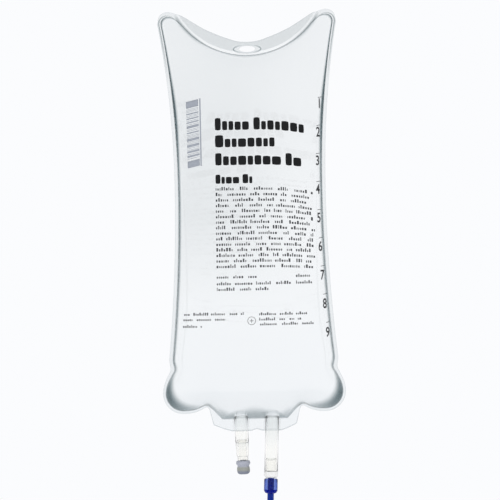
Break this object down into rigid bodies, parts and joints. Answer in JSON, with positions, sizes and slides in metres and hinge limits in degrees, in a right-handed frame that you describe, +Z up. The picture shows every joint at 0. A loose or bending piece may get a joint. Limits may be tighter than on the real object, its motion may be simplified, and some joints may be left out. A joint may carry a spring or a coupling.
{
  "type": "iv fluid bag",
  "caption": "Filled hanging fluid bag of clear welded film, with a slotted flap, lobed lower corners, an injection port and an outlet port with a pull-off protector.",
  "frame": {"origin": "middle of the hanger slot, on the plane between the two film sheets", "axes": "+Z up along the hanging bag, +X across its width to the viewer's right, -Y out of the printed front sheet"},
  "size_m": [0.1372, 0.0586, 0.3806],
  "materials": {
    "film": "clear flexible film, glossy, with dark print on the front sheet",
    "fluid": "clear colourless water-like fluid",
    "tube": "clear soft plastic tubing, slightly milky",
    "membrane": "translucent whitish plastic",
    "port_rubber": "matte grey rubber with a lavender cast",
    "protector": "translucent deep blue plastic"
  },
  "bodies": {
    "bag": {"front_film": "film", "back_film": "film", "saline_fluid": "fluid", "injection_port_tube": "tube", "injection_port_sleeve": "tube", "injection_cap": "port_rubber", "outlet_port_tube": "tube", "membrane_tube": "membrane"},
    "protector": {"outlet_protector": "protector"}
  },
  "joints": [
    {"name": "protector_pull_off", "type": "slide", "parent": "bag", "child": "protector", "axis": [-0.0436, 0, -0.999], "range_m": [0, 0.03]}
  ]
}
